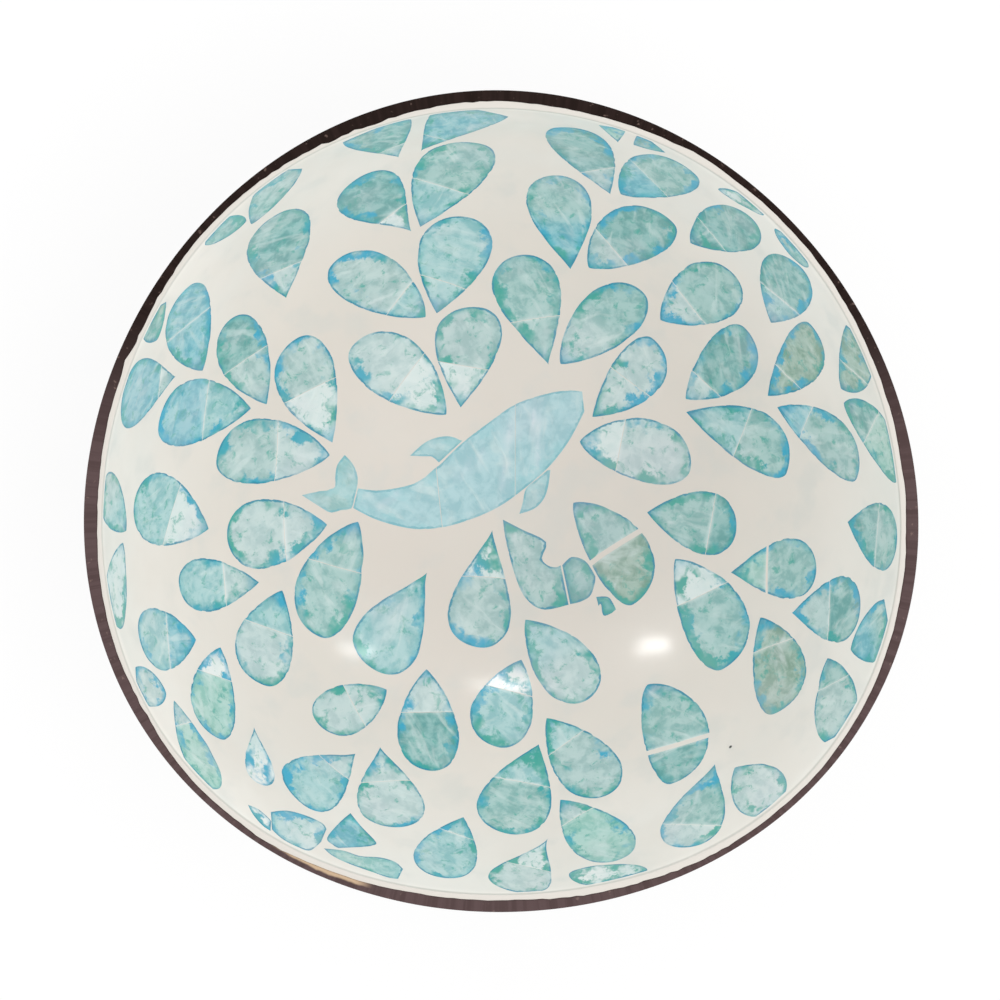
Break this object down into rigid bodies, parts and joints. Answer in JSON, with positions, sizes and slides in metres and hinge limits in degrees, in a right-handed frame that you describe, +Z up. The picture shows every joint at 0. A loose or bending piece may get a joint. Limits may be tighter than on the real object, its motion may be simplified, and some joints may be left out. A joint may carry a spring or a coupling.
{
  "type": "coconut shell bowl",
  "caption": "Round bowl made from half a coconut shell, lined with cream lacquer that is inlaid with pearl leaves and a small whale.",
  "frame": {"origin": "centre of the flat foot, on the plane that the bowl stands on", "axes": "+Z up out of the foot toward the open rim; +Y toward the top of the picture and +X toward its right side"},
  "size_m": [0.1412, 0.1395, 0.06],
  "materials": {
    "coconut_shell": "satin",
    "cream_lacquer": "gloss",
    "leaf_pearl": "gloss",
    "whale_pearl": "gloss"
  },
  "bodies": {
    "root": {"coconut_shell": "coconut_shell", "lacquer_lining": "cream_lacquer", "sprig_12_rim_leaves": "leaf_pearl", "sprig_12_upper_leaves": "leaf_pearl", "sprig_12_middle_leaves": "leaf_pearl", "sprig_12_inner_leaves": "leaf_pearl", "sprig_1_rim_leaves": "leaf_pearl", "sprig_1_upper_leaves": "leaf_pearl", "sprig_1_middle_leaves": "leaf_pearl", "sprig_1_inner_leaves": "leaf_pearl", "sprig_3_rim_leaves": "leaf_pearl", "sprig_3_upper_leaves": "leaf_pearl", "sprig_3_middle_leaves": "leaf_pearl", "sprig_3_inner_leaves": "leaf_pearl", "sprig_4_rim_leaves": "leaf_pearl", "sprig_4_outer_leaves": "leaf_pearl", "sprig_4_middle_leaves": "leaf_pearl", "sprig_4_inner_leaves": "leaf_pearl", "sprig_6_rim_leaves": "leaf_pearl", "sprig_6_outer_leaves": "leaf_pearl", "sprig_6_middle_leaves": "leaf_pearl", "sprig_6_inner_leaves": "leaf_pearl", "sprig_8_rim_leaves": "leaf_pearl", "sprig_8_outer_leaves": "leaf_pearl", "sprig_8_middle_leaves": "leaf_pearl", "sprig_8_inner_leaves": "leaf_pearl", "sprig_10_rim_leaves": "leaf_pearl", "sprig_10_outer_leaves": "leaf_pearl", "sprig_10_middle_leaf": "leaf_pearl", "sprig_10_inner_leaves": "leaf_pearl", "loose_leaf_11": "leaf_pearl", "rim_leaves_11": "leaf_pearl", "loose_leaves_1": "leaf_pearl", "loose_leaf_2": "leaf_pearl", "rim_leaves_2": "leaf_pearl", "rim_leaf_3": "leaf_pearl", "loose_leaf_5": "leaf_pearl", "rim_leaves_5": "leaf_pearl", "rim_leaf_6": "leaf_pearl", "rim_leaves_7": "leaf_pearl", "outer_leaves_7": "leaf_pearl", "inner_leaves_7": "leaf_pearl", "rim_leaves_9": "leaf_pearl", "loose_leaf_9": "leaf_pearl", "chip": "leaf_pearl", "whale_tail_fluke": "whale_pearl", "whale_body": "whale_pearl", "whale_back_fin": "whale_pearl", "whale_flipper": "whale_pearl"}
  },
  "joints": []
}
